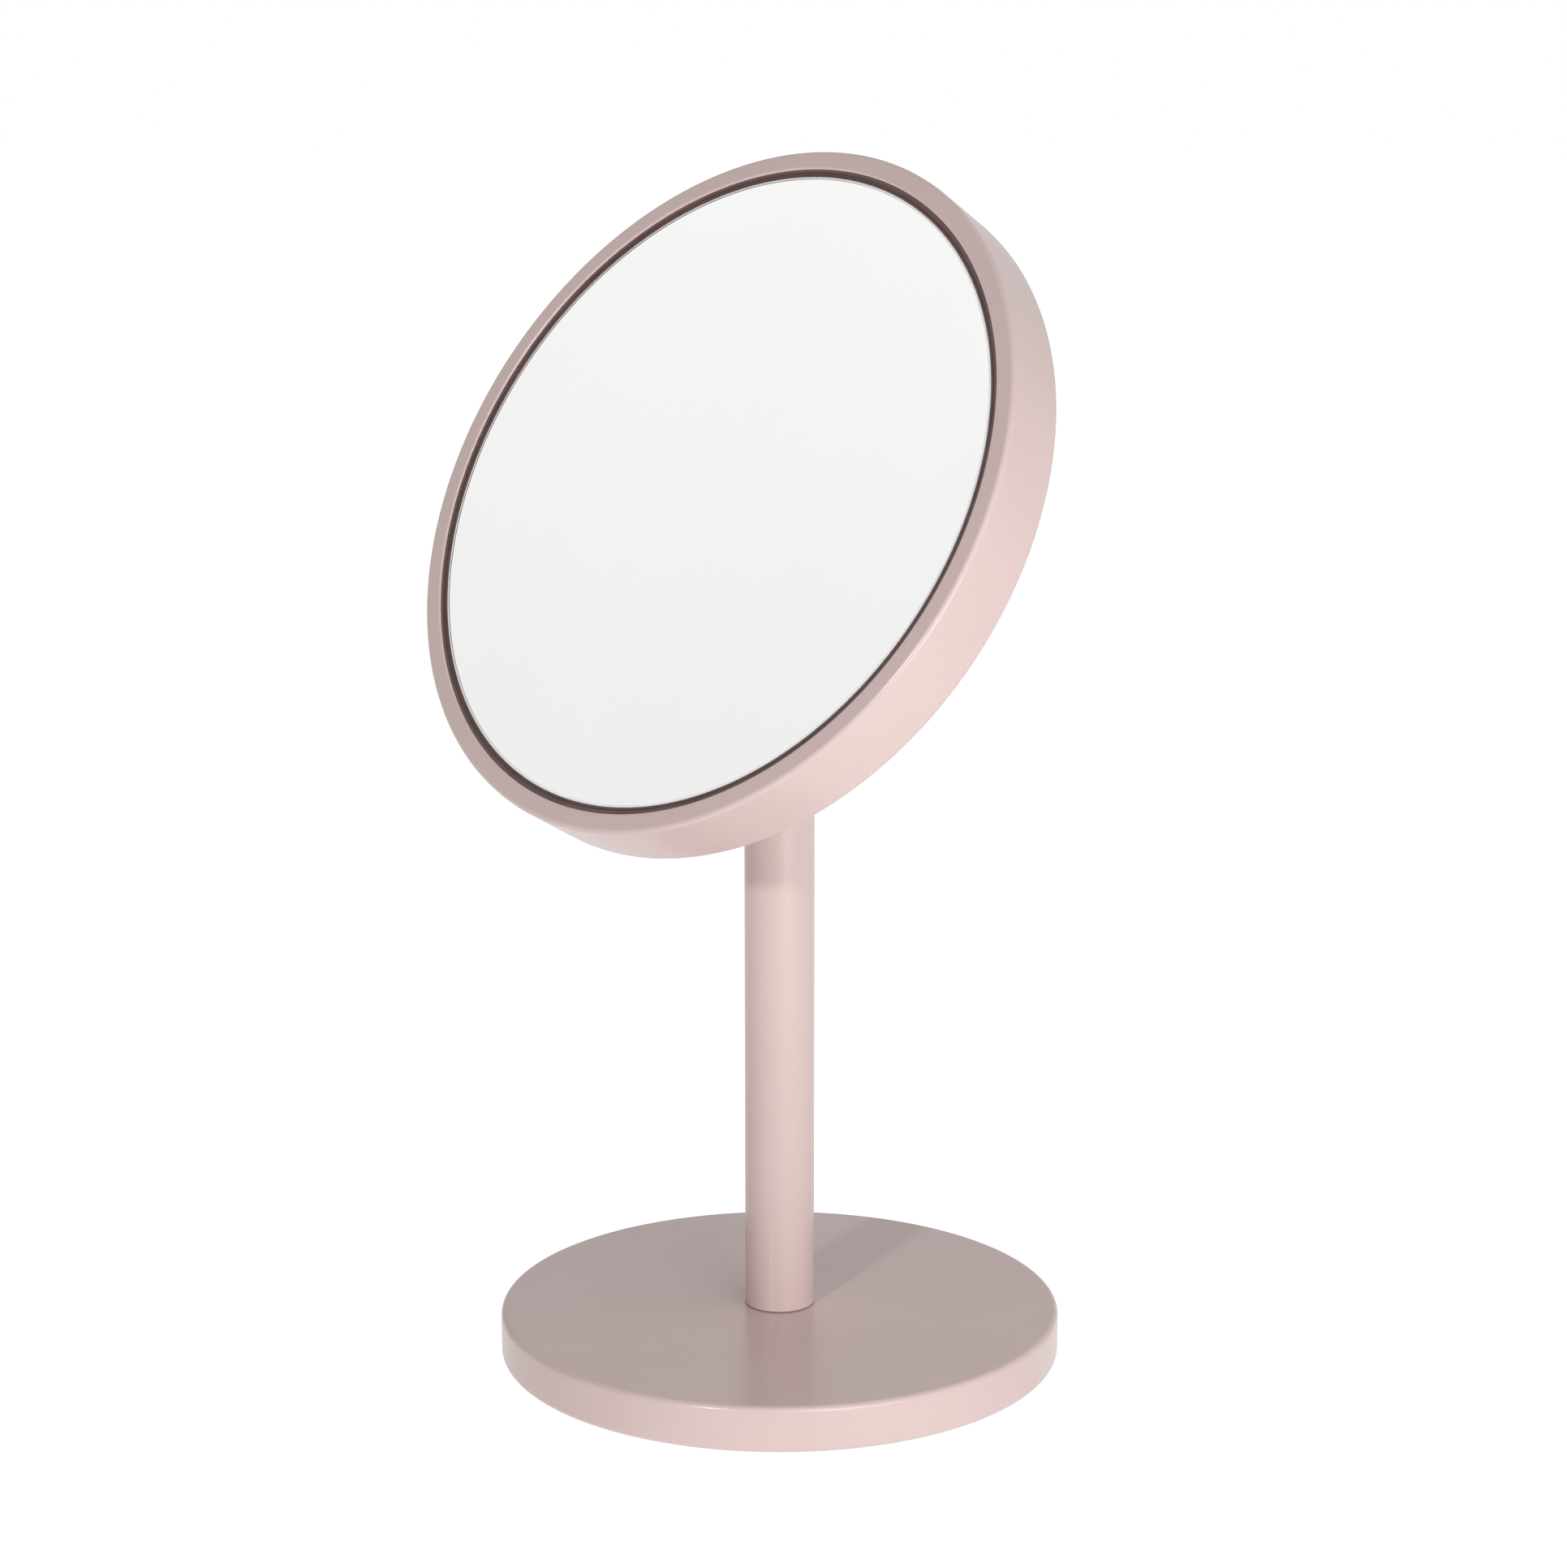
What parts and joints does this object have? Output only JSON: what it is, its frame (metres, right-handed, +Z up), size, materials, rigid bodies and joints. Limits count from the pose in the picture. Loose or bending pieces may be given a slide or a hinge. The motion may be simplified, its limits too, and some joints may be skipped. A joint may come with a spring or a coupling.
{
  "type": "table shaving mirror",
  "caption": "Free-standing round shaving mirror: a weighted disc foot, a straight pole, and a drum-shaped head that swivels on the pole and tilts on a friction hinge.",
  "frame": {"origin": "middle of the foot pad's underside, on the pole's axis, where the mirror rests on the table", "axes": "+Z up along the pole; the head faces -Y, tilted up 29.3 degrees at rest; +X to the viewer's right when facing the glass"},
  "size_m": [0.202, 0.162, 0.3436],
  "materials": {
    "pink_powder_coat": "fine satin powder coat, pale dusty pink",
    "cast_iron": "as cast, primed",
    "dark_foam": "closed-cell foam sheet",
    "zinc_steel": "zinc plated",
    "acetal": "natural acetal",
    "black_plastic": "moulded black",
    "brown_rubber": "dark brown seal rubber",
    "silvered_glass": "polished silvered float glass",
    "foam_tape": "double-sided foam tape"
  },
  "bodies": {
    "stand": {"foot_pad": "dark_foam", "base_cover": "pink_powder_coat", "base_ballast": "cast_iron", "base_washer": "zinc_steel", "base_screw": "zinc_steel", "pole_plug": "zinc_steel", "pole_tube": "pink_powder_coat", "top_bush": "zinc_steel", "thrust_washer": "zinc_steel"},
    "swivel": {"swivel_washer": "acetal", "swivel_knuckle": "pink_powder_coat", "wave_washer": "zinc_steel", "stem_nut": "zinc_steel"},
    "head": {"hinge_bracket": "pink_powder_coat", "friction_washer_left": "acetal", "friction_washer_right": "acetal", "hinge_bolt": "zinc_steel", "hinge_disc_spring": "zinc_steel", "hinge_nut": "zinc_steel", "bracket_screw_1": "zinc_steel", "bracket_screw_2": "zinc_steel", "bracket_screw_3": "zinc_steel", "bracket_screw_4": "zinc_steel", "hub_plate": "zinc_steel", "back_cover": "pink_powder_coat", "cover_screw_1": "zinc_steel", "cover_screw_2": "zinc_steel", "cover_screw_3": "zinc_steel", "cover_screw_4": "zinc_steel", "carrier_post_1": "zinc_steel", "carrier_post_2": "zinc_steel", "carrier_post_3": "zinc_steel", "carrier_post_4": "zinc_steel", "carrier_plate": "black_plastic", "glass_tape_1": "foam_tape", "glass_tape_2": "foam_tape", "glass_tape_3": "foam_tape", "glass_tape_4": "foam_tape", "edge_seal": "brown_rubber", "mirror_glass": "silvered_glass", "head_case": "pink_powder_coat"}
  },
  "joints": [
    {"name": "head_pan", "type": "hinge", "parent": "stand", "child": "swivel", "pos_m": [0, 0, 0.2247], "axis": [0, 0, 1], "continuous": true},
    {"name": "head_tilt", "type": "hinge", "parent": "swivel", "child": "head", "pos_m": [0, 0, 0.239], "axis": [-1, 0, 0], "range_deg": [-29.3, 60.7]}
  ]
}
